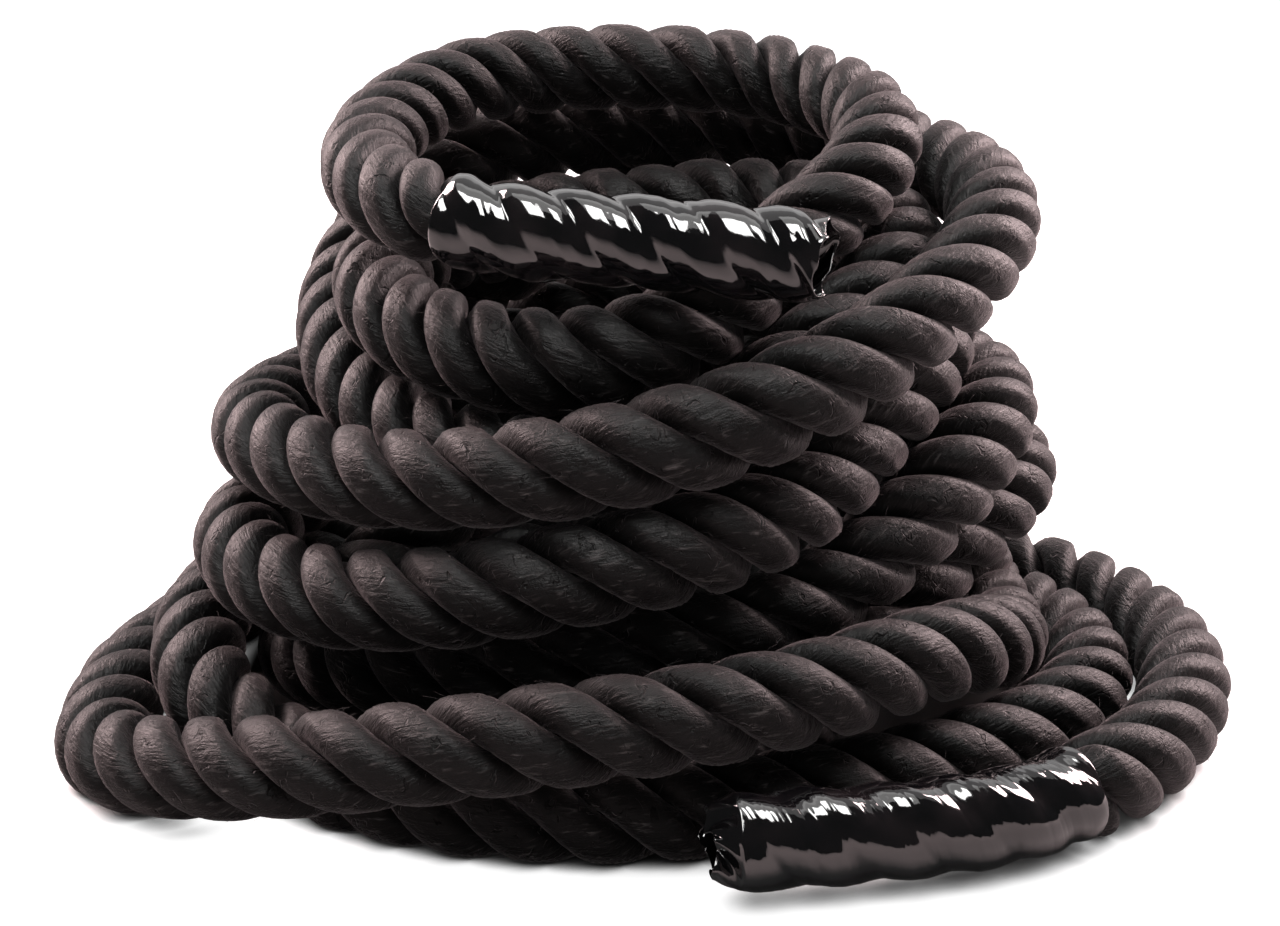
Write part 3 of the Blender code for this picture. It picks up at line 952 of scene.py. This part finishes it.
def makeTapeMaterial(settings):
    # cloth tape: the product of two crossed sets of waves, one for each set of threads
    made, tree, shader = newMaterial("endTape", settings)
    place = addNode(tree, "ShaderNodeTexCoord").outputs["Object"]
    values = {"Vector": place, "Scale": settings["thread"], "Distortion": settings["distortion"]}
    sets = [addNode(tree, "ShaderNodeTexWave", values, bands_direction=way).outputs["Fac"] for way in "XZ"]
    weave = sumNode(tree, "MULTIPLY", *sets)
    dark = tuple(value * settings["darkest"] for value in settings["colour"])
    tree.links.new(mixColour(tree, weave, dark, settings["colour"]), shader.inputs["Base Color"])
    bumpSurface(tree, shader, weave, settings)
    return made


painted = [
    (strands, makeYarnMaterial(yarnSettings, yarnGroup(yarnPattern))),
    (fuzz, makeFuzzMaterial(fuzzColours)),
    ((sleeveTop, sleeveFloor), makeFilmMaterial(filmSettings)),
]
for pieces, made in painted:
    for obj in pieces:
        obj.data.materials.append(made)
tapeMaterial = makeTapeMaterial(tapeSettings)
tapes = [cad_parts["end_tape_top"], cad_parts["end_tape_floor"]]
for obj in tapes:
    for materialSlot in obj.material_slots:
        materialSlot.material = tapeMaterial
print("materials made")

# Floor, world and lamps.

stageSettings = {
    "size": 14.0,
    "bounceColour": 0.55,             # what the object's own light sees
    "paintedShadowRange": (0.180, 0.200),     # from the pile's middle: painted shadow inside it, so that its gaps stay dark
    "paintedShadowColours": (0.06, 0.60),
    "glowRange": (0.175, 0.200),      # the glow that makes the floor white fades out inside the pile too, as painted shadow there,
    "glow": 1.0,
    "contactShadowReach": 0.011,                # and where something stands this close over the floor, as a painted contact shadow
    "openRange": (0.15, 0.75),
    "farRange": (0.30, 1.20),         # further off, where the lamps reach less, it makes up for them
    "farGlow": 0.30,
    "worldLight": 0.085,
    "worldGloss": 0.04,
}


def makeFloor(settings):
    # a square on the ground: grey for the object's light, and for the camera a colour that rises with the
    # reach from the pile's middle, painted shadow inside it, plus a glow of (near + far) times how open the
    # floor is there, which fades as painted shadow inside the pile and near things over the floor
    half = settings["size"] / 2
    corners = np.array([[-half, -half, 0], [half, -half, 0], [half, half, 0], [-half, half, 0]])
    floor = fillMesh("floor", corners, np.arange(4), np.array([4]))
    made = bpy.data.materials.new("floorWhite")
    made.use_nodes = True
    tree = made.node_tree
    tree.nodes.clear()
    plain = addNode(tree, "ShaderNodeBsdfDiffuse", {"Color": (*[settings["bounceColour"]] * 3, 1.0)})
    place = addNode(tree, "ShaderNodeTexCoord").outputs["Object"]
    reach = addNode(tree, "ShaderNodeVectorMath", {0: place}, operation="LENGTH").outputs["Value"]
    # painted shadow: the floor the camera sees is dark inside the pile's reach
    shade = rangeNode(tree, reach, settings["paintedShadowRange"], settings["paintedShadowColours"], smooth=True)
    seen = addNode(tree, "ShaderNodeBsdfDiffuse", {"Color": shade})
    near = rangeNode(tree, reach, settings["glowRange"], (0.0, settings["glow"]), smooth=True)
    far = rangeNode(tree, reach, settings["farRange"], (0.0, settings["farGlow"]), smooth=True)
    # painted contact shadow: the glow fades where something stands close over the floor
    over = addNode(tree, "ShaderNodeAmbientOcclusion", {"Distance": settings["contactShadowReach"]}).outputs["AO"]
    outsideContactShadow = rangeNode(tree, over, settings["openRange"], smooth=True)
    strength = sumNode(tree, "MULTIPLY", sumNode(tree, "ADD", near, far), outsideContactShadow)
    glow = addNode(tree, "ShaderNodeEmission", {"Color": (1, 1, 1, 1), "Strength": strength})
    bright = addNode(tree, "ShaderNodeAddShader", {0: seen.outputs[0], 1: glow.outputs[0]})
    direct = tree.nodes.new("ShaderNodeLightPath").outputs["Is Camera Ray"]
    mix = addNode(tree, "ShaderNodeMixShader", {0: direct, 1: plain.outputs[0], 2: bright.outputs[0]})
    addNode(tree, "ShaderNodeOutputMaterial", {"Surface": mix.outputs[0]})
    floor.data.materials.append(made)


def makeWorld(settings):
    # white for camera and transmission rays, dim for gloss, and a little light for all others
    world = bpy.data.worlds.new("studio")
    scene.world = world
    world.use_nodes = True
    tree = world.node_tree
    tree.nodes.clear()
    path = tree.nodes.new("ShaderNodeLightPath").outputs
    seen = sumNode(tree, "MAXIMUM", path["Is Camera Ray"], path["Is Transmission Ray"])
    glossy = path["Is Glossy Ray"]
    other = sumNode(tree, "SUBTRACT", 1.0, sumNode(tree, "MAXIMUM", seen, glossy))
    strength = sumNode(tree, "MULTIPLY_ADD", glossy, settings["worldGloss"], seen)
    strength = sumNode(tree, "MULTIPLY_ADD", other, settings["worldLight"], strength)
    back = addNode(tree, "ShaderNodeBackground", {"Color": (1, 1, 1, 1), "Strength": strength})
    addNode(tree, "ShaderNodeOutputWorld", {"Surface": back.outputs[0]})


lamps = [
    # name, place, aim, size, power, colour, whether matt and glossy surfaces see it
    ("lampTop", (0.0, -0.05, 1.30), (0, 0, 0.1), (1.0, 0.8), 3.4, (1.0, 0.99, 0.98), True, True),
    ("lampBoxLeft", (-0.30, -0.42, 1.25), (-0.30, 0, 0.15), (0.34, 0.7), 9.4, (1.0, 0.99, 0.98), False, True),
    ("lampBoxRight", (0.24, -0.36, 1.25), (0.24, 0, 0.15), (0.27, 0.56), 6.1, (1, 0.99, 0.98), False, True),
    ("lampBack", (0.0, 1.6, 1.05), (0, 0, 1.05), (3.2, 1.8), 9.5, (1.0, 0.98, 0.98), True, True),
    ("lampSky", (0.0, 0.90, 1.35), (0, 0, 0.15), (3.2, 1.5), 6.4, (1.0, 0.98, 0.98), False, True),
    ("lampFill", (0.0, -2.2, 0.35), (0, 0, 0.08), (2.2, 0.5), 3.4, (1.0, 0.97, 0.97), True, False),
    ("lampLeft", (-1.05, 0.62, 0.85), (0, 0, 0.12), (0.6, 0.9), 39.0, (1.0, 0.77, 0.76), True, True),
    ("lampRight", (1.05, 0.62, 0.82), (0, 0, 0.12), (0.6, 0.9), 42.0, (1.0, 0.78, 0.78), True, True),
]


def makeLamp(name, place, aim, size, power, colour, onMatt, onGloss):
    # an area lamp turned towards its aim: yaw is the way's angle on the ground, pitch that off straight down
    data = bpy.data.lights.new(name, "AREA")
    data.shape = "RECTANGLE"
    data.size, data.size_y = size
    data.energy = power
    data.color = colour
    lamp = bpy.data.objects.new(name, data)
    scene.collection.objects.link(lamp)
    way = np.array(aim, float) - np.array(place, float)
    yaw = math.atan2(way[0], way[1])
    pitch = math.atan2(math.hypot(way[0], way[1]), -way[2])
    lamp.location = place
    lamp.rotation_euler = (pitch, 0, -yaw)
    lamp.visible_diffuse = onMatt
    lamp.visible_glossy = onGloss


makeFloor(stageSettings)
makeWorld(stageSettings)
for lamp in lamps:
    makeLamp(*lamp)
print("stage lit")

# What each piece rides on and stands for.

for obj in strands:
    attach(obj, "root")
    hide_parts("rope")
for obj in fuzz:
    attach(obj, "root")
for obj, node in ((sleeveTop, "grip_sleeve_top"), (sleeveFloor, "grip_sleeve_floor")):
    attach(obj, "root")
    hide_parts(node)
